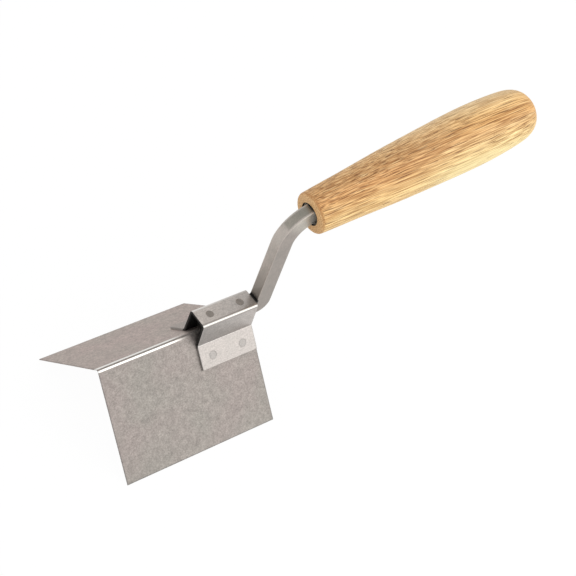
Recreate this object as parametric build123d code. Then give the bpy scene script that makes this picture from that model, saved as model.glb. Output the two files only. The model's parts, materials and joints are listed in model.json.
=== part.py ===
from build123d import *
import os
from math import cos, radians, sin, sqrt

# Corner trowel. A steel sheet folded to 90 degrees is the blade. A hat-section bracket is spot welded
# astride its ridge, a cranked flat bar is welded under the bracket's crown, and the other end of the
# bar is the tang of a turned wooden handle.
#
# Frame: +X along the fold, towards the handle. +Y across the blade. +Z from the fold to the handle side.
# The origin is half way along the blade, on the line where its two working faces meet. Millimetres.

# Blade
BLADE_LENGTH = 89.6
WING_WIDTH = 59.0  # outer face, measured from the sharp corner that the fold rounds off
BLADE_SHEET = 0.5
FOLD_INNER_RADIUS = 0.5

# Bracket
BRACKET_SHEET = 1.2
BRACKET_LENGTH = 33.7
BRACKET_REAR_INSET = 0.4  # from the blade's rear edge
CROWN_WIDTH = 11.6
CROWN_HEIGHT = 10.45  # top of the crown above the fold's sharp outer corner
CHANNEL_FOOT_WIDTH = 12.4  # over the webs, where they meet the flanges
FLANGE_REACH = 20.3  # from the fold's sharp outer corner, along the wing
BRACKET_INNER_RADIUS = 0.4

# Spot welds
WELD_RADIUS = 2.1
WELD_END_INSET = 7.6  # from either end of the bracket
WELD_WING_DISTANCE = 14.6  # from the fold's sharp outer corner, along the wing
WELD_DISH = 0.12  # the electrode leaves the weld this far below the sheet
WELD_DEPTH = 0.25  # into the metal under the bracket

# Shank
BAR_WIDTH = 6.3
BAR_DEPTH = 9.4  # in the plane of the crank
BAR_EDGE_RADIUS = 0.45
BAR_FRONT_RECESS = 4.6  # from the bracket's front edge
RISER_GAP = 1.3  # from the bracket's rear edge
LOWER_INNER_RADIUS = 1.2
LOWER_OUTER_RADIUS = 7.0
UPPER_INNER_RADIUS = 12.0
UPPER_OUTER_RADIUS = 20.0
TANG_SHOULDER = 12.0  # full section up to here, measured along the handle
TANG_LENGTH = 95.0
TANG_TIP_DEPTH = 4.5

# Handle
HANDLE_TILT = 9.6  # degrees above the fold's direction
HANDLE_SETBACK = 7.3  # front face's centre behind the riser's rear face
HANDLE_HEIGHT = 65.2  # front face's centre above the origin
HANDLE_LENGTH = 141.5
HANDLE_BORE_RADIUS = 5.9
HANDLE_BORE_DEPTH = 9.0
RIM_FLAT_RADIUS = 9.2
RIM_ROUNDING = 1.7
RIM_RADIUS = 10.9
RIM_SLOPE = 0.07  # how fast the side widens behind the rim
NECK = (22.0, 12.05)  # distance from the front face, radius
WAIST = (45.0, 13.55)
SWELL = (75.0, 14.95)
BELLY = (103.5, 15.65)
SHOULDER = (124.0, 14.65)
BUTT = (137.4, 10.5)

# What follows from them
DIAGONAL = sqrt(0.5)
APEX_HEIGHT = BLADE_SHEET / DIAGONAL
BRACKET_REAR = BLADE_LENGTH / 2 - BRACKET_REAR_INSET
BRACKET_FRONT = BRACKET_REAR - BRACKET_LENGTH
CROWN_TOP = APEX_HEIGHT + CROWN_HEIGHT
WELD_STATIONS = (BRACKET_FRONT + WELD_END_INSET, BRACKET_REAR - WELD_END_INSET)
BAR_TOP = CROWN_TOP - BRACKET_SHEET
BAR_BOTTOM = BAR_TOP - BAR_DEPTH
BAR_FRONT = BRACKET_FRONT + BAR_FRONT_RECESS
RISER_FRONT = BRACKET_REAR + RISER_GAP
RISER_REAR = RISER_FRONT + BAR_DEPTH
HANDLE_FACE = (RISER_REAR + HANDLE_SETBACK, HANDLE_HEIGHT)
TILT_COS = cos(radians(HANDLE_TILT))
TILT_SIN = sin(radians(HANDLE_TILT))


def section(corners):
    """A flat face whose corners are (across, up, rounding radius)."""
    points = [(across, up) for across, up, _ in corners]
    radii = [radius for _, _, radius in corners]
    return make_face(FilletPolyline(*points, radius=radii, close=True))


def symmetric(right_hand_side):
    """Corners of the right-hand side, then the same ones mirrored, in order round the outline."""
    left_hand_side = [(-across, up, radius) for across, up, radius in reversed(right_hand_side)]
    return right_hand_side + left_hand_side


def along_fold(face, start, length):
    """Extrude a cross-section, drawn as (Y, Z), along the fold."""
    return extrude(Plane.YZ.offset(start) * face, amount=length)


def on_wing(distance, height):
    """(Y, Z) at a distance along the right-hand wing, and a height above its outer face."""
    across = (distance + height) * DIAGONAL
    return across, APEX_HEIGHT - (distance - height) * DIAGONAL


def make_blade():
    outer_tip = on_wing(WING_WIDTH, 0)
    inner_tip = on_wing(WING_WIDTH, -BLADE_SHEET)
    outer_radius = FOLD_INNER_RADIUS + BLADE_SHEET
    outline = [
        (0, APEX_HEIGHT, outer_radius),
        (*outer_tip, 0),
        (*inner_tip, 0),
        (0, 0, FOLD_INNER_RADIUS),
        (-inner_tip[0], inner_tip[1], 0),
        (-outer_tip[0], outer_tip[1], 0),
    ]
    return along_fold(section(outline), -BLADE_LENGTH / 2, BLADE_LENGTH)


def make_bracket():
    """Crown, two webs that splay slightly, and two flanges that lie on the wings."""
    bend_outer = BRACKET_INNER_RADIUS + BRACKET_SHEET
    crown_half = CROWN_WIDTH / 2
    foot_half = CHANNEL_FOOT_WIDTH / 2
    # The web's outer face meets the flange's upper face at the foot.
    upper_face = APEX_HEIGHT + BRACKET_SHEET / DIAGONAL
    foot_up = upper_face - foot_half
    splay = (foot_half - crown_half) / (CROWN_TOP - foot_up)
    web_across = BRACKET_SHEET * sqrt(1 + splay**2)
    inner_crown_half = crown_half - web_across + splay * BRACKET_SHEET
    # The web's inner face runs down to the wing itself.
    inner_foot_half = (inner_crown_half + splay * (CROWN_TOP - BRACKET_SHEET - APEX_HEIGHT)) / (1 - splay)
    right = [
        (crown_half, CROWN_TOP, bend_outer),
        (foot_half, foot_up, BRACKET_INNER_RADIUS),
        (*on_wing(FLANGE_REACH, BRACKET_SHEET), 0),
        (*on_wing(FLANGE_REACH, 0), 0),
        (inner_foot_half, APEX_HEIGHT - inner_foot_half, bend_outer),
        (inner_crown_half, CROWN_TOP - BRACKET_SHEET, BRACKET_INNER_RADIUS),
    ]
    return along_fold(section(symmetric(right)), BRACKET_FRONT, BRACKET_LENGTH)


def handle_point(along, above):
    """(X, Z) at a distance along the handle's axis, and a height above it."""
    return (
        HANDLE_FACE[0] + along * TILT_COS - above * TILT_SIN,
        HANDLE_FACE[1] + along * TILT_SIN + above * TILT_COS,
    )


def riser_meets_upper_leg(riser_x, above):
    """(X, Z) where a vertical face of the riser meets a face of the upper leg."""
    along = (riser_x - HANDLE_FACE[0] + above * TILT_SIN) / TILT_COS
    return handle_point(along, above)


def make_shank():
    """A flat bar cranked twice: lower leg in the bracket, riser, upper leg and tang in the handle."""
    half = BAR_DEPTH / 2
    tip_half = TANG_TIP_DEPTH / 2
    outline = [
        (BAR_FRONT, BAR_BOTTOM, 0),
        (RISER_REAR, BAR_BOTTOM, LOWER_OUTER_RADIUS),
        (*riser_meets_upper_leg(RISER_REAR, -half), UPPER_INNER_RADIUS),
        (*handle_point(TANG_SHOULDER, -half), 0),
        (*handle_point(TANG_LENGTH, -tip_half), 0),
        (*handle_point(TANG_LENGTH, tip_half), 0),
        (*handle_point(TANG_SHOULDER, half), 0),
        (*riser_meets_upper_leg(RISER_FRONT, half), UPPER_OUTER_RADIUS),
        (RISER_FRONT, BAR_TOP, LOWER_INNER_RADIUS),
        (BAR_FRONT, BAR_TOP, 0),
    ]
    bar = extrude(Plane.XZ * section(outline), amount=BAR_WIDTH / 2, both=True)
    sides = bar.faces().filter_by(Axis.Y)
    return fillet(sides.edges(), BAR_EDGE_RADIUS)


def make_handle(shank):
    """Turned wood, with an entry bore round the bar and a hole burnt to the shape of the tang."""
    rim_edge = (0, RIM_FLAT_RADIUS)
    rim_back = (RIM_ROUNDING, RIM_RADIUS)
    outline = Polyline((HANDLE_LENGTH, 0), (0, 0), rim_edge)
    outline += TangentArc(rim_edge, rim_back, tangent=(0, 1))
    side = (rim_back, NECK, WAIST, SWELL, BELLY, SHOULDER, BUTT, (HANDLE_LENGTH, 0))
    outline += Spline(*side, tangents=[(1, RIM_SLOPE), (0, -1)])
    place = Pos(HANDLE_FACE[0], 0, HANDLE_FACE[1]) * Rot(0, -HANDLE_TILT, 0)
    turned = revolve(make_face(outline), Axis.X)
    bore = Rot(0, 90, 0) * Cylinder(
        HANDLE_BORE_RADIUS, HANDLE_BORE_DEPTH, align=(Align.CENTER, Align.CENTER, Align.MIN)
    )
    return place * (turned - bore) - shank


def weld_slugs(place, height):
    """Cylinders at both weld stations, through a surface whose place is given and `height` below it."""
    slug = Cylinder(WELD_RADIUS, height, align=(Align.CENTER, Align.CENTER, Align.MAX))
    return [Pos(station, 0, 0) * place * slug for station in WELD_STATIONS]


def weld_places():
    """Where the bracket's upper surfaces carry welds: the crown, then the two flanges."""
    across, up = on_wing(WELD_WING_DISTANCE, BRACKET_SHEET)
    crown = Pos(0, 0, CROWN_TOP)
    left = Pos(0, across, up) * Rot(-45, 0, 0)
    right = Pos(0, -across, up) * Rot(45, 0, 0)
    return crown, left, right


def make_welds(places):
    """Weld nuggets, dished below the sheet and reaching into the metal under it."""
    return [
        slug
        for place in places
        for slug in weld_slugs(place * Pos(0, 0, -WELD_DISH), BRACKET_SHEET + WELD_DEPTH - WELD_DISH)
    ]


def make_weld_sites(places):
    """What the nuggets, and the dishes over them, take out of the bracket and the metal under it."""
    return [slug for place in places for slug in weld_slugs(place, BRACKET_SHEET + WELD_DEPTH)]


def save(name, shape):
    export_step(shape, os.path.join("parts", name + ".step"))


os.makedirs("parts", exist_ok=True)

crown_place, left_flange_place, right_flange_place = weld_places()
flange_places = (left_flange_place, right_flange_place)
crown_sites = make_weld_sites([crown_place])
flange_sites = make_weld_sites(flange_places)

full_shank = make_shank()
save("blade", make_blade() - flange_sites)
save("bracket", make_bracket() - crown_sites - flange_sites)
save("shank", full_shank - crown_sites)
save("handle", make_handle(full_shank))
save("crown_spot_welds", Compound(children=make_welds([crown_place])))
save("flange_spot_welds", Compound(children=make_welds(flange_places)))
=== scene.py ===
import json
from math import asin, atan2, ceil, cos, pi, radians, sin, sqrt, tan

import bmesh
import bpy
import numpy as np
from mathutils import Matrix, Vector, noise


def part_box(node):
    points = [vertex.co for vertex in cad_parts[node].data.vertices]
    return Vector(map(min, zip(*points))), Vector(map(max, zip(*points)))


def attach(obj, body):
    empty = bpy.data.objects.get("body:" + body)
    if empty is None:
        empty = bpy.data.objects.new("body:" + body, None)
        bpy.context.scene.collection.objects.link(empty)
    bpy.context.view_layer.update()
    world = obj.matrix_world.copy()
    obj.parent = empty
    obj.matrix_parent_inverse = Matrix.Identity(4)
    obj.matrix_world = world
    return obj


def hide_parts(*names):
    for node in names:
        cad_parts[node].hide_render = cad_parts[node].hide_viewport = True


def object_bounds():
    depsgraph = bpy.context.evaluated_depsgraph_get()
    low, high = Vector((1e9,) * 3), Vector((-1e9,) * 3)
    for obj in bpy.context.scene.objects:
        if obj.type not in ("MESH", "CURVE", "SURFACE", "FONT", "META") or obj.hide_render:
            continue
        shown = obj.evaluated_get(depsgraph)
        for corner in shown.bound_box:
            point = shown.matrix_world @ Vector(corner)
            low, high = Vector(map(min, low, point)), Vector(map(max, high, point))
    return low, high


# Corner trowel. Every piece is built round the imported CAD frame: in metres, +X along the fold towards
# the handle, +Y across the blade, +Z from the fold to the handle side. Each mesh is made in that frame,
# so a shader's object coordinates are places on the tool.

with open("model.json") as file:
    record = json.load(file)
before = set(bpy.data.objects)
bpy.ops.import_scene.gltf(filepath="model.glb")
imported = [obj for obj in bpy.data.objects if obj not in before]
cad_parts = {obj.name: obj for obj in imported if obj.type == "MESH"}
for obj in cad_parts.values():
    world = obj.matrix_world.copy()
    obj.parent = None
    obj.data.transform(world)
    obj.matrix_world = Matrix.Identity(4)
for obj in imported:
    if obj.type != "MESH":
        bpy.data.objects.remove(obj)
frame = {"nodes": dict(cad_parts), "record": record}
cad_low, cad_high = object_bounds()

MM = 0.001
DIAGONAL = sqrt(0.5)

# Sizes that the CAD boxes don't give
BLADE_SHEET = 0.5 * MM
FOLD_INNER_RADIUS = 0.5 * MM
BRACKET_SHEET = 1.2 * MM
BRACKET_INNER_RADIUS = 0.4 * MM
CROWN_WIDTH = 11.6 * MM
CHANNEL_FOOT_WIDTH = 12.4 * MM
SHEARED_EDGE = 0.14 * MM  # rounding of a cut edge
WELD_RADIUS = 2.1 * MM
WELD_DISH = 0.12 * MM
WELD_END_INSET = 7.6 * MM
WELD_WING_DISTANCE = 14.6 * MM

BAR_DEPTH = 9.4 * MM
BAR_EDGE = 0.55 * MM
RISER_GAP = 1.3 * MM
LOWER_INNER_RADIUS = 1.2 * MM
LOWER_OUTER_RADIUS = 7.0 * MM
UPPER_INNER_RADIUS = 12.0 * MM
UPPER_OUTER_RADIUS = 20.0 * MM
TANG_SHOULDER = 12.0 * MM
TANG_LENGTH = 95.0 * MM
TANG_TIP_DEPTH = 4.5 * MM

BORE_RADIUS = 5.9 * MM
BORE_DEPTH = 9.0 * MM
RIM_FLAT_RADIUS = 9.2 * MM
RIM_ROUNDING = 1.7 * MM
RIM_RADIUS = 10.9 * MM
RIM_SLOPE = 0.07  # how fast the side widens behind the rim
# Distance from the front face and radius of the turned side, rim to butt
TURNING = [
    (RIM_ROUNDING, RIM_RADIUS),
    (22.0 * MM, 12.05 * MM),
    (45.0 * MM, 13.55 * MM),
    (75.0 * MM, 14.95 * MM),
    (103.5 * MM, 15.65 * MM),
    (124.0 * MM, 14.65 * MM),
    (137.4 * MM, 10.5 * MM),
    (141.5 * MM, 0.0),
]
HANDLE_SIDES = 128
QUARTER_TURN = [k * pi / 6 for k in range(4)]  # angles round a rounded edge


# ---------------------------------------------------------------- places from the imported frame


def mount(name):
    return next(m for m in frame["record"]["mounts"] if m["name"] == name)


blade_low, blade_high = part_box("blade")
bracket_low, bracket_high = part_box("bracket")
shank_low, shank_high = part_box("shank")

APEX = blade_high.y + blade_low.z + BLADE_SHEET * DIAGONAL  # the fold's sharp outer corner
WELD_STATIONS = (bracket_low.x + WELD_END_INSET, bracket_high.x - WELD_END_INSET)


def handle_frame():
    """The turned handle's own axes: origin at its front face's centre, X along it, Y across the tool."""
    axis = Vector(mount("handle_grip")["axis"]).normalized()
    above = Vector((-axis.z, 0, axis.x))
    corners = frame["nodes"]["handle"].data.vertices
    along_axis = [v.co.dot(axis) for v in corners]
    over_axis = [v.co.dot(above) for v in corners]
    start = axis * min(along_axis) + above * (min(over_axis) + max(over_axis)) / 2
    turned = Matrix((axis, (0, 1, 0), above)).transposed().to_4x4()
    return Matrix.Translation(start) @ turned


HANDLE = handle_frame()


# ---------------------------------------------------------------- mesh helpers


SAME_VERTEX = 1e-7
SAME_SAMPLE = 1e-6
BEND_STEP = radians(9)  # the most that one chord of a bend turns
FLAT_WEIGHT = 60


def share_between(low, high, value):
    """0 at low, 1 at high, straight between and no further."""
    return min(1.0, max(0.0, (value - low) / (high - low)))


def smooth_step(low, high, value):
    share = share_between(low, high, value)
    return share * share * (3 - 2 * share)


def link_mesh(name, bm, node, material):
    """Makes the finished bmesh a piece that stands for a CAD node."""
    bmesh.ops.remove_doubles(bm, verts=bm.verts, dist=SAME_VERTEX)
    bmesh.ops.recalc_face_normals(bm, faces=bm.faces)
    mesh = bpy.data.meshes.new(name)
    bm.to_mesh(mesh)
    bm.free()
    mesh.shade_smooth()
    mesh.materials.append(material)
    piece = bpy.data.objects.new(name, mesh)
    bpy.context.scene.collection.objects.link(piece)
    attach(piece, "root")
    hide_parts(node)
    return piece


def keep_flats_flat(piece):
    """Lets the large faces set the shading beside a small rounding."""
    weighted = piece.modifiers.new("weighted_normals", "WEIGHTED_NORMAL")
    weighted.mode = "FACE_AREA"
    weighted.weight = FLAT_WEIGHT


def skin(bm, rings):
    """A closed tube through rings of equal length, with a face over either end."""
    rows = [[bm.verts.new(point) for point in ring] for ring in rings]
    for row, following in zip(rows, rows[1:]):
        for i in range(len(row)):
            j = (i + 1) % len(row)
            bm.faces.new((row[i], row[j], following[j], following[i]))
    bm.faces.new(list(reversed(rows[0])))
    bm.faces.new(rows[-1])


def stations(start, end, coarse, fine=None, centres=(), reach=0.0):
    """Places from start to end, closer together near the centres."""
    places = [start]
    while places[-1] < end:
        near = any(abs(places[-1] - c) < reach for c in centres)
        places.append(places[-1] + (fine if near else coarse))
    places[-1] = end
    if len(places) > 2 and end - places[-2] < 0.3 * (fine or coarse):
        del places[-2]
    return places


def bent_line(corners, step):
    """(point, direction) along a line through corners of (a, b, bend radius), its bends as short chords."""
    points = [Vector(corner[:2]) for corner in corners]
    bends = [corner[2] for corner in corners]
    samples = []

    def straight(start, end):
        way = end - start
        count = max(1, ceil(way.length / step))
        samples.extend((start + way * k / count, way.normalized()) for k in range(count + 1))

    leave = points[0]
    for before, corner, after, bend in zip(points, points[1:], points[2:], bends[1:]):
        into, out = (corner - before).normalized(), (after - corner).normalized()
        turn = atan2(into.x * out.y - into.y * out.x, into.dot(out))
        setback = into * bend * tan(abs(turn) / 2)
        side = Vector((-into.y, into.x)) * (bend if turn > 0 else -bend)
        centre = corner - setback + side
        straight(leave, corner - setback)
        chords = max(4, ceil(abs(turn) / BEND_STEP))
        for k in range(1, chords):
            rotation = Matrix.Rotation(turn * k / chords, 2)
            samples.append((centre + rotation @ -side, rotation @ into))
        leave = corner + out * setback.length
    straight(leave, points[-1])
    return samples


def drop_repeats(samples):
    kept = samples[:1]
    for sample in samples[1:]:
        if (sample[0] - kept[-1][0]).length > SAME_SAMPLE:
            kept.append(sample)
    return kept


# ---------------------------------------------------------------- sheet metal


def sheet_ring(samples, half, edge, inset):
    """(Y, Z) outline of a sheet that follows samples, drawn in by inset, its cut ends rounded by edge."""
    face_points = [(p, Vector((-t.y, t.x))) for p, t in samples[1:-1]]
    radius = edge - inset
    outer = [p + n * (half - inset) for p, n in face_points]
    inner = [p - n * (half - inset) for p, n in reversed(face_points)]

    def cut_end(sample, outward):
        point, direction = sample
        away = direction * outward
        normal = Vector((-direction.y, direction.x))
        back = point - away * edge
        flat = normal * (half - edge)
        upper = [back + flat + (normal * cos(a) + away * sin(a)) * radius for a in QUARTER_TURN]
        lower = [back - flat + (away * cos(a) - normal * sin(a)) * radius for a in QUARTER_TURN]
        return upper + lower

    return outer + cut_end(samples[-1], 1) + inner + list(reversed(cut_end(samples[0], -1)))


def fold_sheet(corners, thickness, along, step):
    """Rings of a folded sheet from its middle line's corners, with all its cut edges rounded."""
    samples = drop_repeats(bent_line(corners, step))
    half = thickness / 2
    rounding = [(SHEARED_EDGE * (1 - cos(a)), SHEARED_EDGE * (1 - sin(a))) for a in QUARTER_TURN]
    start, end = along[0], along[-1]
    sections = [(start + x, inset) for x, inset in rounding]
    sections += [(x, 0) for x in along[1:-1]]
    sections += [(end - x, inset) for x, inset in reversed(rounding)]
    rings = []
    for x, inset in sections:
        outline = sheet_ring(samples, half, SHEARED_EDGE, inset)
        rings.append([Vector((x, *point)) for point in outline])
    return rings


BLADE_STEP = 1.5 * MM


def make_blade(material):
    half = BLADE_SHEET / 2
    middle_apex = APEX - half / DIAGONAL
    tip_across = blade_high.y - half * DIAGONAL
    tip_up = middle_apex - tip_across
    corners = [(-tip_across, tip_up, 0), (0, middle_apex, FOLD_INNER_RADIUS + half), (tip_across, tip_up, 0)]
    along = stations(blade_low.x, blade_high.x, BLADE_STEP)
    rings = fold_sheet(corners, BLADE_SHEET, along, BLADE_STEP)
    for ring in rings:
        for point in ring:
            point += sheet_wave(point)
    bm = bmesh.new()
    skin(bm, rings)
    piece = link_mesh("blade_sheet", bm, "blade", material)
    keep_flats_flat(piece)


WAVE_HEIGHT = 0.05 * MM
WAVE_LENGTH = 26 * MM
WAVE_FROM_FOLD = (1 * MM, 15 * MM)  # where it starts and where it has its full height
WAVE_FROM_BRACKET = 8 * MM


def sheet_wave(point):
    """A rolled sheet is never quite flat. Still along the fold and under the bracket."""
    wing = Vector((0, 1 if point.y > 0 else -1, 1)) * DIAGONAL
    free = share_between(*WAVE_FROM_FOLD, abs(point.y))
    if abs(point.y) < bracket_high.y:
        free *= share_between(bracket_low.x, bracket_low.x - WAVE_FROM_BRACKET, point.x)
    height = noise.noise(point / WAVE_LENGTH) * WAVE_HEIGHT * free
    return wing * height


def bracket_corners():
    """Corners of the bracket's middle line: flange, web, crown, web, flange."""
    half = BRACKET_SHEET / 2
    crown_half = CROWN_WIDTH / 2
    foot_half = CHANNEL_FOOT_WIDTH / 2
    foot_up = APEX + BRACKET_SHEET / DIAGONAL - foot_half
    splay = (foot_half - crown_half) / (bracket_high.z - foot_up)
    # The web's middle line lies half a sheet inside its outer face, and the flange's half a sheet under.
    web_shift = half * sqrt(1 + splay**2)
    crown_up = bracket_high.z - half
    crown_across = crown_half - web_shift + splay * half
    flange_line = APEX + half / DIAGONAL
    foot_across = (crown_across + splay * (crown_up - flange_line)) / (1 - splay)
    tip_across = bracket_high.y - half * DIAGONAL
    bend = BRACKET_INNER_RADIUS + half
    right = [
        (crown_across, crown_up, bend),
        (foot_across, flange_line - foot_across, bend),
        (tip_across, flange_line - tip_across, 0),
    ]
    left = [(-across, up, radius) for across, up, radius in reversed(right)]
    return left + right


def weld_places():
    """(centre, outward normal) of every spot weld: crown, then both flanges."""
    reach = (WELD_WING_DISTANCE + BRACKET_SHEET) * DIAGONAL
    drop = APEX - (WELD_WING_DISTANCE - BRACKET_SHEET) * DIAGONAL
    crown = [(Vector((x, 0, bracket_high.z)), Vector((0, 0, 1))) for x in WELD_STATIONS]
    flanges = [
        (Vector((x, side * reach, drop)), Vector((0, side, 1)) * DIAGONAL)
        for side in (-1, 1)
        for x in WELD_STATIONS
    ]
    return crown, flanges


DISH_FADE = (2.6 * MM, 1.5 * MM)  # from a weld's centre, out to in
PIT_FADE = (2.0 * MM, 1.6 * MM)
PIT_DEPTH = 0.25 * MM
DISH_REACH = 3 * MM


def weld_dish(distance):
    """How far below the sheet the electrode left the metal, at a distance from a weld's centre."""
    return WELD_DISH * smooth_step(*DISH_FADE, distance)


def weld_pit(distance):
    """The bracket's own surface, which drops away under the weld's disc."""
    return weld_dish(distance) + PIT_DEPTH * smooth_step(*PIT_FADE, distance)


BRACKET_STEP = 0.9 * MM
BRACKET_FINE_STEP = 0.25 * MM  # by the welds
BRACKET_FINE_REACH = 3.2 * MM
BRACKET_STEP_ACROSS = 0.3 * MM


def make_bracket(material):
    crown, flanges = weld_places()
    low, high = bracket_low.x, bracket_high.x
    along = stations(low, high, BRACKET_STEP, BRACKET_FINE_STEP, WELD_STATIONS, BRACKET_FINE_REACH)
    rings = fold_sheet(bracket_corners(), BRACKET_SHEET, along, BRACKET_STEP_ACROSS)
    for ring in rings:
        for point in ring:
            for centre, normal in crown + flanges:
                offset = point - centre
                if offset.length < DISH_REACH and abs(offset.dot(normal)) < BRACKET_SHEET / 2:
                    point -= normal * weld_pit(offset.length)
                    break
    bm = bmesh.new()
    skin(bm, rings)
    piece = link_mesh("bracket_hat", bm, "bracket", material)
    keep_flats_flat(piece)


WELD_SIDES = 48
WELD_RADII = [(0.2 + 0.19 * k) * MM for k in range(10)] + [2.0 * MM, 2.07 * MM]
WELD_CROWN = 0.02 * MM  # how far the disc stands over the dish
WELD_RIM_DROP = 0.03 * MM
WELD_ROUGHNESS = 0.03  # of its outline, as a share of the radius


def weld_outline(angle, place):
    """The radius there as a share of the round one: no weld is quite round."""
    return 1 + WELD_ROUGHNESS * noise.noise(Vector((3 * cos(angle), 3 * sin(angle), place * 900)))


def make_welds(name, places, node, material):
    """Discs that follow the electrode's dish and stand a hair over the bracket's pit."""
    profile = [(r, WELD_CROWN - weld_dish(r)) for r in WELD_RADII]
    profile.append((WELD_RADIUS, -WELD_RIM_DROP - weld_dish(WELD_RADIUS)))
    profile.append((WELD_RADIUS, -BRACKET_SHEET / 2))
    angles = [2 * pi * k / WELD_SIDES for k in range(WELD_SIDES)]
    bm = bmesh.new()
    for centre, normal in places:
        turned = Vector((0, 0, 1)).rotation_difference(normal)
        rings = []
        for radius, height in profile:
            ring = []
            for angle in angles:
                across = radius * weld_outline(angle, centre.x)
                ring.append(centre + turned @ Vector((across * cos(angle), across * sin(angle), height)))
            rings.append(ring)
        skin(bm, rings)
    link_mesh(name, bm, node, material)


# ---------------------------------------------------------------- shank


def handle_point(along, above):
    point = HANDLE @ Vector((along, 0, above))
    return point.x, point.z


def on_riser(x, above):
    """(X, Z) where a vertical face of the riser meets a face of the upper leg."""
    origin = HANDLE.translation
    axis, up = HANDLE.col[0].xyz, HANDLE.col[2].xyz
    along = (x - origin.x - above * up.x) / axis.x
    return handle_point(along, above)


BAR_SPACING = [(20, 12), (16, 18), (6, 1), (30, 1)]  # steps along each straight and round its bend


def matched_bends(corners):
    """Samples of one face of the bar, in the same number for both faces, so that they pair up."""
    points = [Vector(c[:2]) for c in corners]
    radii = [c[2] for c in corners]
    samples = []
    leave = points[0]
    for i in range(1, len(points) - 1):
        into = (points[i] - points[i - 1]).normalized()
        out = (points[i + 1] - points[i]).normalized()
        turn = atan2(into.x * out.y - into.y * out.x, into.dot(out))
        straight_count, arc_count = BAR_SPACING[i - 1]
        setback = into * radii[i] * tan(abs(turn) / 2)
        side = Vector((-into.y, into.x)) * (radii[i] if turn > 0 else -radii[i])
        centre = points[i] - setback + side
        end = points[i] - setback
        samples += [leave.lerp(end, k / straight_count) for k in range(straight_count)]
        samples += [centre + Matrix.Rotation(turn * k / arc_count, 2) @ -side for k in range(arc_count)]
        leave = points[i] + out * setback.length
    last = BAR_SPACING[-1][0]
    samples += [leave.lerp(points[-1], k / last) for k in range(last + 1)]
    return samples


def bar_ring(front, rear, half_width, edge):
    """A rounded rectangle from the bar's front (or top) line to its rear (or bottom) one."""
    middle = (front + rear) / 2
    depth = (front - rear) / 2
    up = depth.normalized()
    half_depth = depth.length
    ring = []
    for corner in range(4):
        across_sign = (1, -1, -1, 1)[corner]
        up_sign = (1, 1, -1, -1)[corner]
        for turn in QUARTER_TURN:
            angle = corner * pi / 2 + turn
            across = across_sign * (half_width - edge) + edge * cos(angle)
            over = up_sign * (half_depth - edge) + edge * sin(angle)
            place = middle + up * over
            ring.append(Vector((place.x, across, place.y)))
    return ring


def make_shank(material):
    top = bracket_high.z - BRACKET_SHEET
    bottom = shank_low.z
    riser_front = bracket_high.x + RISER_GAP
    riser_rear = riser_front + BAR_DEPTH
    half = BAR_DEPTH / 2
    tip = TANG_TIP_DEPTH / 2
    start = shank_low.x
    front_line = matched_bends([
        (start, top, 0),
        (riser_front, top, LOWER_INNER_RADIUS),
        (*on_riser(riser_front, half), UPPER_OUTER_RADIUS),
        (*handle_point(TANG_SHOULDER, half), 0),
        (*handle_point(TANG_LENGTH, tip), 0),
    ])
    rear_line = matched_bends([
        (start, bottom, 0),
        (riser_rear, bottom, LOWER_OUTER_RADIUS),
        (*on_riser(riser_rear, -half), UPPER_INNER_RADIUS),
        (*handle_point(TANG_SHOULDER, -half), 0),
        (*handle_point(TANG_LENGTH, -tip), 0),
    ])
    half_width = shank_high.y
    rings = [bar_ring(front, rear, half_width, BAR_EDGE) for front, rear in zip(front_line, rear_line)]
    bm = bmesh.new()
    skin(bm, rings)
    # Each rounded edge has as many vertices as a quarter turn, and the middle ones carry a painted
    # highlight.
    edge_highlight = bm.verts.layers.float.new("painted_edge_highlight")
    for index, vertex in enumerate(bm.verts):
        vertex[edge_highlight] = 1.0 if index % len(QUARTER_TURN) in (1, 2) else 0.0
    piece = link_mesh("shank_bar", bm, "shank", material)
    keep_flats_flat(piece)


# ---------------------------------------------------------------- handle


def spline_through(points, start_slope, end_slope, count):
    """Points of the smooth cubic through the given ones, with its end directions, by chord length."""
    points = np.array(points)
    chord = np.hypot(*np.diff(points, axis=0).T)
    knots = np.concatenate(([0], np.cumsum(chord)))
    size = len(points)
    matrix = np.zeros((size, size))
    right = np.zeros((size, 2))
    matrix[0, 0] = matrix[-1, -1] = 1
    right[0], right[-1] = start_slope, end_slope
    for i in range(1, size - 1):
        before, after = chord[i - 1], chord[i]
        matrix[i, i - 1 : i + 2] = after, 2 * (before + after), before
        rise_before = (points[i] - points[i - 1]) / before
        rise_after = (points[i + 1] - points[i]) / after
        right[i] = 3 * (after * rise_before + before * rise_after)
    slopes = np.linalg.solve(matrix, right)
    samples = []
    for t in np.linspace(0, knots[-1], count):
        i = min(int(np.searchsorted(knots, t, side="right")) - 1, size - 2)
        u = (t - knots[i]) / chord[i]
        h00, h10 = 2 * u**3 - 3 * u**2 + 1, u**3 - 2 * u**2 + u
        h01, h11 = -2 * u**3 + 3 * u**2, u**3 - u**2
        point = h00 * points[i] + h10 * chord[i] * slopes[i]
        point = point + h01 * points[i + 1] + h11 * chord[i] * slopes[i + 1]
        samples.append(tuple(point))
    return samples


SIDE_SAMPLES = 130
BUTT_POLE = 0.12 * MM  # the ring that closes the butt has this radius
BORE_LIP = 0.25 * MM
BORE_START = 1.2 * MM
TANG_CLEARANCE = 0.05 * MM
TANG_TIP_CLEARANCE = 0.5 * MM


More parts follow.
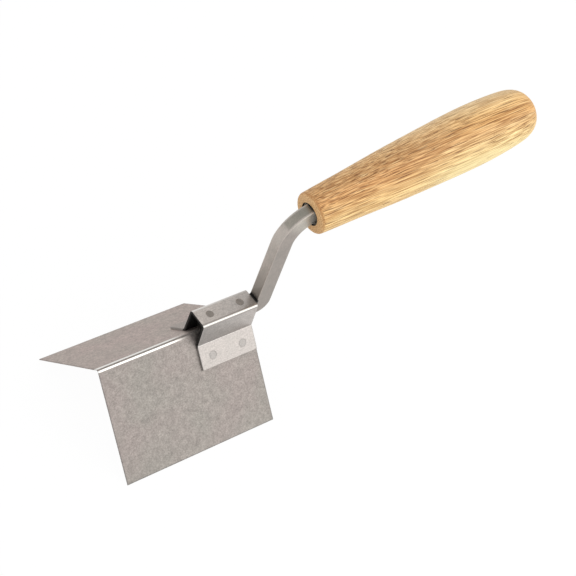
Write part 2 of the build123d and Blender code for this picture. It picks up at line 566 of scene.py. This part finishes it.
def handle_profile():
    """(distance from the front face, radius) from the butt round to the bore's floor."""
    slope = Vector((1, RIM_SLOPE)).normalized()
    side = spline_through(TURNING, tuple(slope), (0, -1), SIDE_SAMPLES)
    side = [(x, max(r, BUTT_POLE)) for x, r in side]
    rim_centre = (RIM_ROUNDING, RIM_RADIUS - RIM_ROUNDING)
    rim_turns = [k * pi / 12 for k in range(1, 6)]
    rim = [(rim_centre[0] - RIM_ROUNDING * sin(a), rim_centre[1] + RIM_ROUNDING * cos(a)) for a in rim_turns]
    face = [(0, r) for r in np.linspace(RIM_FLAT_RADIUS, BORE_RADIUS + BORE_LIP, 5)]
    lip_turns = [k * pi / 8 for k in range(1, 5)]
    bore_lip = [(BORE_LIP * (1 - cos(a)), BORE_RADIUS + BORE_LIP * (1 - sin(a))) for a in lip_turns]
    bore = [(x, BORE_RADIUS) for x in np.linspace(BORE_START, BORE_DEPTH, 7)]
    return list(reversed(side)) + rim + face + bore_lip + bore


def tang_ring(along):
    """(Y, Z) of the burnt hole for the tang at a distance from the front face."""
    taper = share_between(TANG_SHOULDER, TANG_LENGTH, along)
    half_depth = (BAR_DEPTH * (1 - taper) + TANG_TIP_DEPTH * taper) / 2 + TANG_CLEARANCE
    half_width = shank_high.y + TANG_CLEARANCE
    ring = []
    for k in range(HANDLE_SIDES):
        angle = 2 * pi * k / HANDLE_SIDES
        reach = min(half_width / max(abs(cos(angle)), 1e-6), half_depth / max(abs(sin(angle)), 1e-6))
        ring.append((reach * cos(angle), reach * sin(angle)))
    return ring


def make_handle(material):
    rings = []
    angles = [2 * pi * k / HANDLE_SIDES for k in range(HANDLE_SIDES)]
    for along, radius in handle_profile():
        rings.append([HANDLE @ Vector((along, radius * cos(a), radius * sin(a))) for a in angles])
    middle = (TANG_SHOULDER + TANG_LENGTH) / 2
    for along in [BORE_DEPTH, TANG_SHOULDER, middle, TANG_LENGTH + TANG_TIP_CLEARANCE]:
        rings.append([HANDLE @ Vector((along, *point)) for point in tang_ring(along)])
    bm = bmesh.new()
    skin(bm, rings)
    link_mesh("handle_turning", bm, "handle", material)


# ---------------------------------------------------------------- materials


class Shader:
    """A small builder for one material's nodes. Places are in metres, and a noise's scale is per metre."""

    def __init__(self, name):
        self.material = bpy.data.materials.new(name)
        self.material.use_nodes = True
        self.tree = self.material.node_tree
        self.surface = self.tree.nodes["Principled BSDF"]
        self.place = self.add("ShaderNodeTexCoord").outputs["Object"]

    def add(self, kind, **settings):
        node = self.tree.nodes.new(kind)
        for key, value in settings.items():
            setattr(node, key, value)
        return node

    def feed(self, node, **inputs):
        for name, value in inputs.items():
            self.plug(node.inputs[name.replace("_", " ")], value)
        return node

    def plug(self, socket, value):
        if isinstance(value, bpy.types.NodeSocket):
            self.tree.links.new(value, socket)
        else:
            socket.default_value = value

    def mapped(self, vector, scale):
        node = self.add("ShaderNodeMapping")
        self.feed(node, Vector=vector, Scale=scale)
        return node.outputs[0]

    def noise(self, vector, scale, detail=2.0, roughness=0.5, offset=0.0):
        if offset:
            shift = self.add("ShaderNodeVectorMath", operation="ADD")
            self.plug(shift.inputs[0], vector)
            self.plug(shift.inputs[1], (offset, offset, offset))
            vector = shift.outputs[0]
        node = self.add("ShaderNodeTexNoise")
        self.feed(node, Vector=vector, Scale=scale, Detail=detail, Roughness=roughness)
        return node.outputs["Fac"]

    def ramp(self, factor, *stops):
        """stops are (place, value) or (place, colour)."""
        node = self.add("ShaderNodeValToRGB")
        self.plug(node.inputs[0], factor)
        elements = node.color_ramp.elements
        while len(elements) < len(stops):
            elements.new(0.5)
        for element, (place, value) in zip(elements, stops):
            element.position = place
            element.color = (value, value, value, 1) if isinstance(value, (int, float)) else (*value, 1)
        return node.outputs[0]

    def mix(self, factor, a, b, blend="MIX"):
        node = self.add("ShaderNodeMix", data_type="RGBA", blend_type=blend)
        for index, value in ((0, factor), (6, a), (7, b)):
            if isinstance(value, tuple) and len(value) == 3:
                value = (*value, 1)
            self.plug(node.inputs[index], value)
        return node.outputs[2]

    def tinted(self, tone, where, tint):
        """The tone, multiplied by the tint as far as the mask says."""
        return self.mix(where, tone, tint, "MULTIPLY")

    def mottled(self, tone, amount, pattern):
        """The tone, darker where the noise is low and lighter where it is high."""
        return self.tinted(tone, amount, self.ramp(pattern, (0.3, 0.7), (0.7, 1.3)))

    def patches(self, pattern, tone, other):
        """Soft-edged patches of two tones."""
        return self.mix(self.ramp(pattern, (0.35, 0.0), (0.65, 1.0)), tone, other)

    def math(self, operation, a, b=0.0):
        node = self.add("ShaderNodeMath", operation=operation)
        self.plug(node.inputs[0], a)
        self.plug(node.inputs[1], b)
        return node.outputs[0]

    def step(self, value, low, high):
        """0 up to low, 1 from high on, smooth between; the other way round if low is above high."""
        node = self.add("ShaderNodeMapRange", interpolation_type="SMOOTHSTEP")
        self.feed(node, Value=value, From_Min=low, From_Max=high)
        return node.outputs[0]

    def both(self, a, b):
        return self.math("MULTIPLY", a, b)

    def either(self, a, b):
        return self.math("MAXIMUM", a, b)

    def reduced(self, start, mask, amount=1.0):
        """A value that falls by the amount where the mask is 1."""
        return self.math("SUBTRACT", start, self.both(mask, amount))

    def distance(self, a, b):
        return self.math("SQRT", self.math("ADD", self.both(a, a), self.both(b, b)))

    def split(self, vector):
        node = self.add("ShaderNodeSeparateXYZ")
        self.plug(node.inputs[0], vector)
        return node.outputs

    def bump(self, height, distance, strength=1.0, under=None):
        node = self.add("ShaderNodeBump")
        self.feed(node, Height=height, Distance=distance, Strength=strength)
        if under is not None:
            self.plug(node.inputs["Normal"], under)
        return node.outputs[0]

    def finish(self, **inputs):
        self.feed(self.surface, **inputs)
        return self.material


def linear(red, green, blue):
    """A display colour of 0 to 255 as scene-linear values."""

    def one(value):
        value /= 255
        return value / 12.92 if value <= 0.04045 else ((value + 0.055) / 1.055) ** 2.4

    return one(red), one(green), one(blue)


def scaled(colour, factor):
    return tuple(channel_shade * factor for channel_shade in colour)


# A fade is a pair of places, in metres: the mask is 0 at the first and 1 at the second.

BLADE_TONE = (0.360, 0.318, 0.296)
BLADE_GREY = (0.345, 0.320, 0.292)
FAR_WING_PAINTED_LIGHT = (1.35, 1.28, 1.27)
FAR_WING_FADE = (0.2 * MM, 1.2 * MM)
FOLD_PAINTED_HIGHLIGHT = (0.72, 0.70, 0.66)
FOLD_HIGHLIGHT_FADE = (0.38 * MM, 0.62 * MM)  # from the middle of the fold
NEAR_HIGHLIGHT_FADE = (-1.28 * MM, -1.04 * MM)
FAR_HIGHLIGHT_FADE = (2.4 * MM, 1.9 * MM)
HIGHLIGHT_REAR_FADE = (bracket_low.x - 2 * MM, bracket_low.x - 15 * MM)
MARGIN_TINT = (0.78, 0.79, 0.80)
SIDE_MARGIN_FADE = (blade_high.y - 0.55 * MM, blade_high.y - 0.3 * MM)
FRONT_MARGIN_FADE = (blade_low.x + 0.6 * MM, blade_low.x + 0.3 * MM)
REAR_MARGIN_FADE = (blade_high.x - 0.6 * MM, blade_high.x - 0.3 * MM)


def blade_material():
    s = Shader("blade_steel")
    x, y, _ = s.split(s.place)
    grain = s.noise(s.mapped(s.place, (0.6, 1.0, 1.0)), 2300, 3.0, 0.6)
    speckle = s.noise(s.place, 1000, 2.0, 0.6, offset=3.1)
    cloud = s.noise(s.place, 330, 3.0, 0.6, offset=7.7)
    drift = s.noise(s.place, 45, 2.0, 0.5, offset=1.3)
    tone = s.patches(drift, BLADE_TONE, BLADE_GREY)
    # Painted light: the far wing is made lighter than the near one.
    tone = s.tinted(tone, s.step(y, *FAR_WING_FADE), FAR_WING_PAINTED_LIGHT)
    tone = s.mottled(tone, 0.4, cloud)
    tone = s.mottled(tone, 0.7, speckle)
    tone = s.mottled(tone, 0.6, grain)
    # The bending die's shoulders rubbed a smoother line on either side of the fold, open to wear in front;
    # its bright colour is a painted highlight.
    from_fold = s.math("ABSOLUTE", y)
    fold_highlights = s.both(s.step(y, *NEAR_HIGHLIGHT_FADE), s.step(y, *FAR_HIGHLIGHT_FADE))
    fold_highlights = s.both(fold_highlights, s.step(from_fold, *FOLD_HIGHLIGHT_FADE))
    fold_highlights = s.both(fold_highlights, s.step(x, *HIGHLIGHT_REAR_FADE))
    tone = s.mix(fold_highlights, tone, FOLD_PAINTED_HIGHLIGHT)
    # The shears drew a dull margin along every edge.
    end_margins = s.either(s.step(x, *FRONT_MARGIN_FADE), s.step(x, *REAR_MARGIN_FADE))
    margin = s.either(s.step(from_fold, *SIDE_MARGIN_FADE), end_margins)
    tone = s.tinted(tone, margin, MARGIN_TINT)
    dull = s.ramp(speckle, (0.3, 0.54), (0.7, 0.66))
    rubbed = s.ramp(grain, (0.3, 0.14), (0.7, 0.22))
    relief = s.bump(grain, 0.03 * MM, s.reduced(0.5, fold_highlights, 0.4))
    return s.finish(Base_Color=tone, Metallic=1.0, Roughness=s.mix(fold_highlights, dull, rubbed), Normal=relief)


STEEL = (0.52, 0.478, 0.448)
STEEL_GREY = (0.492, 0.456, 0.427)
NEAR_FLANGE_PAINTED_SHADE = (0.72, 0.72, 0.72)
CROWN_PAINTED_LIGHT = ((1.24, 1.22, 1.20), (1.04, 1.04, 1.04))  # at the front end, at the rear end
WEB_PAINTED_SHADE = ((0.95, 0.98, 1.0), (0.96, 0.96, 0.96))
FAR_FLANGE_PAINTED_SHADE = (0.42, 0.375, 0.345)
NEAR_BEND_PAINTED_SHADE = scaled(STEEL, 0.74)
NEAR_BEND_PAINTED_HIGHLIGHT = (0.62, 0.60, 0.56)
FAR_BEND_PAINTED_HIGHLIGHT = (0.88, 0.85, 0.81)
SCALE_AND_SHADE_BLACK = (0.05, 0.049, 0.047)
FLANGE_EDGE = (0.42, 0.40, 0.38)
CROWN_SIDE = CROWN_WIDTH / 2
FOOT_SIDE = CHANNEL_FOOT_WIDTH / 2
CROWN_TOP = bracket_high.z
FAR_FLANGE_FADE = (FOOT_SIDE, FOOT_SIDE + 0.4 * MM)
NEAR_FLANGE_FADE = (-FOOT_SIDE, -FOOT_SIDE - 0.4 * MM)
FLANGE_EDGE_FADE = (FOOT_SIDE, FOOT_SIDE + 0.8 * MM)
CROWN_FADE = (CROWN_TOP - 0.4 * MM, CROWN_TOP - 0.1 * MM)
WEB_FADE = (CROWN_TOP - 1.0 * MM, CROWN_TOP - 1.8 * MM)
UNDER_CROWN_FADE = (CROWN_TOP - 0.5 * MM, CROWN_TOP - 0.8 * MM)
WITHIN_WEBS_FADE = (CROWN_SIDE - 0.4 * MM, CROWN_SIDE - 0.7 * MM)
SHEARED_FADE = (bracket_low.x + 0.16 * MM, bracket_low.x + 0.08 * MM)


def bracket_material():
    s = Shader("bracket_steel")
    x, y, z = s.split(s.place)
    streak = s.noise(s.mapped(s.place, (0.12, 1.0, 1.0)), 2600, 3.0, 0.6)
    speckle = s.noise(s.place, 1300, 2.0, 0.6, offset=2.2)
    cloud = s.noise(s.place, 260, 3.0, 0.55, offset=5.5)
    from_middle = s.math("ABSOLUTE", y)
    front_to_rear = s.step(x, bracket_low.x, bracket_high.x)
    far_flange = s.step(y, *FAR_FLANGE_FADE)
    near_flange = s.step(y, *NEAR_FLANGE_FADE)
    crown = s.step(z, *CROWN_FADE)
    web = s.both(s.step(z, *WEB_FADE), s.reduced(1.0, near_flange))
    tone = s.patches(cloud, STEEL, STEEL_GREY)
    # Painted light and shade: each face gets its own brightness, the crown lighter towards the front, the
    # webs and both flanges darker.
    tone = s.tinted(tone, near_flange, NEAR_FLANGE_PAINTED_SHADE)
    tone = s.tinted(tone, crown, s.mix(front_to_rear, *CROWN_PAINTED_LIGHT))
    tone = s.tinted(tone, web, s.mix(front_to_rear, *WEB_PAINTED_SHADE))
    tone = s.mix(far_flange, tone, FAR_FLANGE_PAINTED_SHADE)
    tone = s.mottled(tone, 0.5, speckle)
    tone = s.mottled(tone, 0.45, streak)

    def at_bend(outwards, across, down):
        """A crown bend: across and down are fades of the distance from its sharp corner."""
        beside = s.step(outwards, CROWN_SIDE - across[0], CROWN_SIDE - across[1])
        below = s.step(z, CROWN_TOP - down[0], CROWN_TOP - down[1])
        return s.both(beside, below)

    # Painted highlights along the crown's two bends, the far one fading towards the rear, and painted shade
    # over the near bend around its highlight.
    towards_near = s.both(y, -1.0)
    near_bend_shade = at_bend(towards_near, (1.8 * MM, 1.4 * MM), (1.8 * MM, 1.4 * MM))
    near_highlight = at_bend(towards_near, (0.95 * MM, 0.65 * MM), (0.95 * MM, 0.65 * MM))
    far_highlight = at_bend(y, (1.7 * MM, 1.2 * MM), (1.4 * MM, 0.9 * MM))
    far_highlight = s.both(far_highlight, s.reduced(1.0, front_to_rear, 0.7))
    tone = s.mix(near_bend_shade, tone, NEAR_BEND_PAINTED_SHADE)
    tone = s.mix(near_highlight, tone, NEAR_BEND_PAINTED_HIGHLIGHT)
    tone = s.mix(far_highlight, tone, FAR_BEND_PAINTED_HIGHLIGHT)
    # Painted shade: the inside of the channel is painted near black. The sheared front edge between the
    # flanges is dark cut steel, made darker still as painted shade.
    sheared = s.step(x, *SHEARED_FADE)
    tone = s.mix(sheared, tone, s.mix(s.step(from_middle, *FLANGE_EDGE_FADE), SCALE_AND_SHADE_BLACK, FLANGE_EDGE))
    channel_shade = s.both(s.step(z, *UNDER_CROWN_FADE), s.step(from_middle, *WITHIN_WEBS_FADE))
    tone = s.mix(channel_shade, tone, SCALE_AND_SHADE_BLACK)
    dull = s.either(s.either(channel_shade, sheared), far_flange)
    rough = s.mix(dull, s.ramp(streak, (0.3, 0.28), (0.7, 0.42)), (0.6, 0.6, 0.6))
    relief = s.bump(streak, 0.02 * MM, 0.35)
    return s.finish(Base_Color=tone, Metallic=1.0, Roughness=rough, Normal=relief)


BAR_TONE = (0.50, 0.450, 0.408)
BAR_GREY = (0.44, 0.405, 0.368)
BAR_LOW = scaled(BAR_GREY, 0.72)
BAR_EDGE_HIGHLIGHT = scaled(BAR_TONE, 1.5)
UPPER_TOP_PAINTED_SHADE = (0.65, 0.67, 0.64)
RISER_SIDE_PAINTED_SHADE = (0.76, 0.75, 0.75)
UPPER_SIDE_TINT = (0.99, 1.02, 0.99)
PLAIN = (1.0, 1.0, 1.0)
BAR_SIDE = shank_high.y
BAR_SIDE_FADE = (BAR_SIDE - 0.45 * MM, BAR_SIDE - 0.15 * MM)
BAR_TOP_FADE = (BAR_SIDE - 0.8 * MM, BAR_SIDE - 1.2 * MM)
BAR_LOW_FADE = (36 * MM, 12 * MM)
SCALE_AND_SHADE_FADE = (bracket_high.z + 0.35 * MM, bracket_high.z - 0.1 * MM)
RISER_FRONT = bracket_high.x + RISER_GAP
RISER_FRONT_FADE = (RISER_FRONT + 1.0 * MM, RISER_FRONT + 0.5 * MM)
BEND_X = HANDLE.translation.x - 13.3 * MM
BEND_Z = HANDLE.translation.z - 3.9 * MM
BEND_LEAN = radians(56)  # the way from the riser to the upper leg, above the fold's direction
BEND_REACH = 6 * MM


def bar_material():
    s = Shader("bar_steel")
    x, y, z = s.split(s.place)
    streak = s.noise(s.mapped(s.place, (1.0, 1.0, 0.15)), 1800, 3.0, 0.6)
    speckle = s.noise(s.place, 1500, 2.0, 0.6, offset=4.2)
    cloud = s.noise(s.place, 180, 3.0, 0.55, offset=9.5)
    tone = s.patches(cloud, BAR_TONE, BAR_GREY)
    tone = s.mottled(tone, 0.35, speckle)
    tone = s.mottled(tone, 0.25, streak)
    # Painted shade: the sides are darker than the front up to the upper bend, and past it the top is darker
    # than the sides.
    from_middle = s.math("ABSOLUTE", y)
    side = s.step(from_middle, *BAR_SIDE_FADE)
    beyond_x = s.both(s.math("SUBTRACT", x, BEND_X), cos(BEND_LEAN))
    beyond_z = s.both(s.math("SUBTRACT", z, BEND_Z), sin(BEND_LEAN))
    past_bend = s.both(s.math("ADD", beyond_x, beyond_z), 1 / BEND_REACH)
    upper_leg = s.ramp(past_bend, (0.0, 0.0), (0.17, 0.8), (1.0, 1.0))
    upper_top = s.both(upper_leg, s.step(from_middle, *BAR_TOP_FADE))
    upper_side = s.step(past_bend, -0.4, 1.0)
    top_painted_shade = s.mix(upper_top, PLAIN, UPPER_TOP_PAINTED_SHADE)
    side_painted_shade = s.mix(upper_side, RISER_SIDE_PAINTED_SHADE, UPPER_SIDE_TINT)
    tone = s.tinted(tone, 1.0, s.mix(side, top_painted_shade, side_painted_shade))
    low = s.both(s.step(z, *BAR_LOW_FADE), s.reduced(1.0, side, 0.75))
    tone = s.mix(low, tone, BAR_LOW)
    # Painted highlight along the middle of each rounded edge.
    edge_highlight = s.add("ShaderNodeAttribute", attribute_name="painted_edge_highlight").outputs["Fac"]
    tone = s.mix(s.both(edge_highlight, 0.35), tone, BAR_EDGE_HIGHLIGHT)
    # Near black where the riser leaves the bracket, and on the lower leg inside it: partly mill scale,
    # partly painted shade.
    scale_and_shade = s.both(s.step(z, *SCALE_AND_SHADE_FADE), s.step(x, *RISER_FRONT_FADE))
    tone = s.mix(scale_and_shade, tone, SCALE_AND_SHADE_BLACK)
    rough = s.ramp(speckle, (0.3, 0.36), (0.7, 0.5))
    relief = s.bump(speckle, 0.03 * MM, 0.4)
    metallic = s.reduced(1.0, s.both(side, upper_side), 0.6)
    return s.finish(Base_Color=tone, Metallic=metallic, Roughness=rough, Normal=relief)


CROWN_WELD_TONES = ((0.34, 0.30, 0.268), (0.28, 0.254, 0.228))
FLANGE_WELD_TONES = ((0.36, 0.335, 0.315), (0.33, 0.312, 0.295))


def weld_material(name, tones):
    s = Shader(name)
    speckle = s.noise(s.place, 2400, 3.0, 0.6)
    cloud = s.noise(s.place, 700, 2.0, 0.5, offset=4.0)
    tone = s.mottled(s.patches(cloud, *tones), 0.4, speckle)
    relief = s.bump(speckle, 0.03 * MM, 0.5)
    return s.finish(Base_Color=tone, Metallic=1.0, Roughness=0.45, Normal=relief)


# Places on the handle are distances from its front face, along its axis.
BELLY_RADIUS = max(radius for _, radius in TURNING)
LEAN_LIMIT = 11.5 * MM  # the butt shows end grain within this radius
LEAN_FADE = (101 * MM, 106 * MM)
GRAIN_TURN = (0, -radians(0.8), radians(2.6))
GRAIN_WANDER = 1 * MM
BILLET_WIDTH = 32 * MM
BILLET_SHIFT = 6.5 * MM
BILLET_LEAN = (0.89, 0.45)  # the way across its bands, in Y and Z
BILLET = [
    (0.02, linear(248, 226, 166)),
    (0.12, linear(243, 213, 152)),
    (0.28, linear(236, 196, 136)),
    (0.42, linear(226, 177, 120)),
    (0.56, linear(205, 155, 101)),
    (0.72, linear(230, 186, 131)),
    (0.92, linear(243, 211, 161)),
]
FRONT_LOW_TINT = (0.88, 0.74, 0.65)
REAR_HIGH_TINT = (1.22, 1.25, 1.17)
PALE_SIDE = linear(240, 218, 160)
PITH_ACROSS, PITH_OVER = -52 * MM, 22 * MM
RING_SPACING = 2.3 * MM
EARLY_WOOD = linear(200, 140, 80)
BAND_RAMP = [(0.3, 0.65), (0.7, 1.35)]
STREAK_RAMP = [(0.35, (0.66, 0.55, 0.44)), (0.65, (1.25, 1.34, 1.42))]
FIBRE_RAMP = [(0.35, (0.58, 0.46, 0.34)), (0.65, (1.28, 1.40, 1.52))]
SHINE = linear(250, 220, 166)
PORE = linear(112, 64, 30)
LONG_PORE = linear(120, 78, 34)
END_GRAIN, END_GRAIN_PORE = linear(228, 186, 132), linear(176, 128, 78)
RIM_LINE = linear(170, 116, 66)
CHAR_AND_SHADE = (0.012, 0.010, 0.008)
DEEP_BORE_PALE = (0.60, 0.56, 0.50)


def wood_material():
    s = Shader("handle_wood")
    handle_place = s.add("ShaderNodeMapping", vector_type="TEXTURE")
    tilt = asin(HANDLE.col[0].z)
    s.feed(handle_place, Vector=s.place, Location=tuple(HANDLE.translation), Rotation=(0, -tilt, 0))
    turned = handle_place.outputs[0]
    x, y, z = s.split(turned)

    # On the domed butt the fibres lean outwards with the surface, so they show as lines almost to its end.
    radius = s.distance(y, z)
    inner = s.math("MAXIMUM", s.math("MINIMUM", radius, BELLY_RADIUS), LEAN_LIMIT)
    spread = s.math("SUBTRACT", s.math("DIVIDE", BELLY_RADIUS, inner), 1.0)
    spread = s.math("ADD", s.both(s.step(x, *LEAN_FADE), spread), 1.0)
    leaning = s.add("ShaderNodeCombineXYZ")
    s.feed(leaning, X=x, Y=s.both(y, spread), Z=s.both(z, spread))
    wander = s.add("ShaderNodeTexNoise")
    s.feed(wander, Vector=s.mapped(leaning.outputs[0], (0.5, 1.0, 1.0)), Scale=40.0, Detail=1.0)

    def in_billet(point):
        """The grain runs a few degrees off the turning's axis, and wanders a little."""
        billet = s.add("ShaderNodeMapping")
        s.feed(billet, Vector=point, Rotation=GRAIN_TURN)
        shift = s.add("ShaderNodeVectorMath", operation="MULTIPLY_ADD")
        s.plug(shift.inputs[0], wander.outputs["Color"])
        s.plug(shift.inputs[1], (0.0, GRAIN_WANDER, GRAIN_WANDER))
        s.plug(shift.inputs[2], billet.outputs[0])
        return shift.outputs[0]

    # The billet goes from pale sapwood on one side through a brown band to tan on the other.
    _, across, over = s.split(in_billet(turned))
    height = s.math("ADD", s.both(across, BILLET_LEAN[0]), s.both(over, BILLET_LEAN[1]))
    share = s.math("ADD", s.both(height, 1 / BILLET_WIDTH), 0.5 - BILLET_SHIFT / BILLET_WIDTH)
    front_low = s.both(s.step(x, 95 * MM, 40 * MM), s.step(share, 0.52, 0.32))
    rear_high = s.both(s.step(x, 70 * MM, 105 * MM), s.step(share, 0.36, 0.52))
    rear_high = s.both(rear_high, s.step(share, 0.92, 0.66))
    tone = s.ramp(share, *BILLET)
    tone = s.tinted(tone, front_low, FRONT_LOW_TINT)
    tone = s.tinted(tone, rear_high, REAR_HIGH_TINT)

    # Growth rings: the pith lies outside the billet, so the rings cross it as wide, shallow arcs.
    place = in_billet(leaning.outputs[0])
    _, ring_across, ring_over = s.split(place)
    beside = s.math("SUBTRACT", ring_across, PITH_ACROSS)
    above = s.math("SUBTRACT", ring_over, PITH_OVER)
    phase = s.math("FRACT", s.both(s.distance(beside, above), 1 / RING_SPACING))
    early = s.ramp(phase, (0.0, 1.0), (0.28, 0.75), (0.6, 0.12), (0.93, 0.0), (1.0, 1.0))

    def fibres(squeeze, scale, detail, roughness, offset=0.0):
        """Noise that is drawn out along the grain."""
        return s.noise(s.mapped(place, (squeeze, 1.0, 1.0)), scale, detail, roughness, offset)

    fibre = fibres(0.012, 2500, 1.0, 0.5)
    streak = fibres(0.016, 1700, 1.0, 0.5, offset=2.5)
    band = fibres(0.05, 420, 2.0, 0.5, offset=5.1)
    vessel = fibres(0.034, 2700, 0.0, 0.4, offset=8.3)
    gloss = fibres(0.025, 2200, 0.0, 0.4, offset=11.9)
    long_vessel = fibres(0.05, 1500, 0.0, 0.4, offset=14.7)

    # The pale side, the tan side and the butt show their grain less.
    pale_side = s.both(s.step(x, 60 * MM, 90 * MM), s.step(share, 0.15, 0.03))
    quiet = s.either(pale_side, s.both(s.step(x, 131 * MM, 138 * MM), 0.9))
    quiet = s.either(quiet, s.both(s.step(share, 0.72, 0.9), 0.6))
    clear = s.reduced(0.9, quiet, 0.5)
    pores = s.both(s.ramp(vessel, (0.62, 0.0), (0.67, 1.0)), s.math("ADD", s.both(early, 0.6), 0.4))
    pores = s.both(pores, clear)
    long_pores = s.both(s.ramp(long_vessel, (0.745, 0.0), (0.775, 1.0)), clear)
    shine = s.ramp(gloss, (0.62, 0.0), (0.72, 1.0))
    tone = s.mix(s.both(early, 0.16), tone, EARLY_WOOD)
    tone = s.tinted(tone, 0.1, s.ramp(band, *BAND_RAMP))
    tone = s.mix(pale_side, tone, PALE_SIDE)
    tone = s.tinted(tone, s.both(clear, 0.42), s.ramp(streak, *STREAK_RAMP))
    tone = s.tinted(tone, clear, s.ramp(fibre, *FIBRE_RAMP))
    tone = s.mix(s.both(shine, 0.4), tone, SHINE)
    tone = s.mix(s.both(pores, 0.9), tone, PORE)
    tone = s.mix(s.both(long_pores, 0.85), tone, LONG_PORE)

    # End grain on the front face, and a bore that is near black at its mouth, charring with painted shade,
    # and pale deeper in.
    end_speck = s.ramp(s.noise(turned, 1900, 2.0, 0.6, offset=6.0), (0.46, 0.0), (0.62, 1.0))
    tone = s.mix(s.step(x, 0.9 * MM, 0.25 * MM), tone, s.mix(end_speck, END_GRAIN, END_GRAIN_PORE))
    rim = s.both(s.step(x, 0.15 * MM, 0.5 * MM), s.step(x, 1.7 * MM, 1.0 * MM))
    tone = s.mix(s.both(rim, 0.45), tone, RIM_LINE)
    within_bore = s.step(radius, BORE_RADIUS + 0.3 * MM, BORE_RADIUS + 0.12 * MM)
    within_bore = s.both(within_bore, s.step(x, TANG_LENGTH + 10 * MM, TANG_LENGTH + 5 * MM))
    tone = s.mix(within_bore, tone, s.mix(s.step(x, 0.8 * MM, 1.5 * MM), CHAR_AND_SHADE, DEEP_BORE_PALE))
    rough = s.ramp(fibre, (0.3, 0.5), (0.7, 0.66))
    relief = s.bump(fibre, 0.05 * MM, 0.5)
    cut = s.bump(s.both(pores, -1.0), 0.12 * MM, 0.8, under=relief)
    return s.finish(Base_Color=tone, Roughness=rough, Normal=cut, Specular_IOR_Level=0.35)


# ---------------------------------------------------------------- studio


FLOOR_GLOW = 0.965
FLOOR_SIZE = 6.0
FLOOR_GREYS = ((0.038, 0.038, 0.038), (0.042, 0.042, 0.042))


def make_floor():
    """Pale paper that glows nearly white, so that only a faint shadow shows on it."""
    bm = bmesh.new()
    bmesh.ops.create_grid(bm, x_segments=8, y_segments=8, size=FLOOR_SIZE)
    mesh = bpy.data.meshes.new("floor")
    bm.to_mesh(mesh)
    bm.free()
    floor = bpy.data.objects.new("floor", mesh)
    floor.location.z = cad_low.z
    bpy.context.scene.collection.objects.link(floor)
    s = Shader("floor_white")
    paper = s.noise(s.place, 300, 2.0)
    s.finish(
        Base_Color=s.mix(paper, *FLOOR_GREYS),
        Roughness=0.9,
        Specular_IOR_Level=0.0,
        Emission_Color=(1, 1, 1, 1),
        Emission_Strength=FLOOR_GLOW,
    )
    mesh.materials.append(s.material)


STUDIO_CENTRE = Vector((0.04, 0.0, 0.01))


def softbox(name, direction, distance, width, height, radiance):
    """A rectangular area light that faces the tool; radiance is what a mirror of it would show."""
    light = bpy.data.lights.new(name, "AREA")
    light.shape = "RECTANGLE"
    light.size, light.size_y = width, height
    light.energy = radiance * pi * width * height
    lamp = bpy.data.objects.new(name, light)
    away = Vector(direction).normalized()
    lamp.location = STUDIO_CENTRE + away * distance
    lamp.rotation_euler = away.to_track_quat("Z", "Y").to_euler()
    bpy.context.scene.collection.objects.link(lamp)


DARK_CORNER = (0.6, 0.8, 0.0)
CORNER_FADE = (0.1, 0.95)  # the cosine of the angle to that direction
ROOM_LIGHT = (0.92, 0.66)  # in the rest of the room, and in that corner


def make_world():
    """A pale room that is darker in one direction: to the rear, on the far wing's side."""
    world = bpy.data.worlds.new("studio")
    bpy.context.scene.world = world
    world.use_nodes = True
    tree = world.node_tree
    background = tree.nodes["Background"]
    direction = tree.nodes.new("ShaderNodeTexCoord")
    towards_corner = tree.nodes.new("ShaderNodeVectorMath")
    towards_corner.operation = "DOT_PRODUCT"
    towards_corner.inputs[1].default_value = DARK_CORNER
    ramp = tree.nodes.new("ShaderNodeMapRange")
    ramp.inputs["From Min"].default_value, ramp.inputs["From Max"].default_value = CORNER_FADE
    ramp.inputs["To Min"].default_value, ramp.inputs["To Max"].default_value = ROOM_LIGHT
    tree.links.new(direction.outputs["Generated"], towards_corner.inputs[0])
    tree.links.new(towards_corner.outputs["Value"], ramp.inputs["Value"])
    tree.links.new(ramp.outputs[0], background.inputs["Strength"])
    background.inputs["Color"].default_value = (1, 1, 1, 1)


def make_lights():
    direction = (0.47, -0.72, 0.51)
    softbox("side", direction, distance=0.9, width=0.55, height=1.0, radiance=1.4)


CAMERA_AIM = Vector((63.9, -4.0, 13.30)) * MM
CAMERA_DISTANCE = 789.13 * MM
CAMERA_ANGLES = (41.2802, -15.3886, -36.637)
CAMERA_LENS = 98.11
SENSOR_WIDTH = 36.0


def make_camera():
    data = bpy.data.cameras.new("camera")
    data.lens = CAMERA_LENS
    data.sensor_width = SENSOR_WIDTH
    camera = bpy.data.objects.new("camera", data)
    camera.rotation_euler = [radians(a) for a in CAMERA_ANGLES]
    back = camera.rotation_euler.to_matrix() @ Vector((0, 0, 1))
    camera.location = CAMERA_AIM + back * CAMERA_DISTANCE
    bpy.context.scene.collection.objects.link(camera)
    bpy.context.scene.camera = camera


make_blade(blade_material())
make_bracket(bracket_material())
make_shank(bar_material())
make_handle(wood_material())
crown_places, flange_places = weld_places()
crown_metal = weld_material("weld_metal_crown", CROWN_WELD_TONES)
flange_metal = weld_material("weld_metal_flange", FLANGE_WELD_TONES)
make_welds("crown_weld_spots", crown_places, "crown_spot_welds", crown_metal)
make_welds("flange_weld_spots", flange_places, "flange_spot_welds", flange_metal)
make_floor()
make_world()
make_lights()
make_camera()

scene = bpy.context.scene
scene.view_settings.view_transform = "Standard"
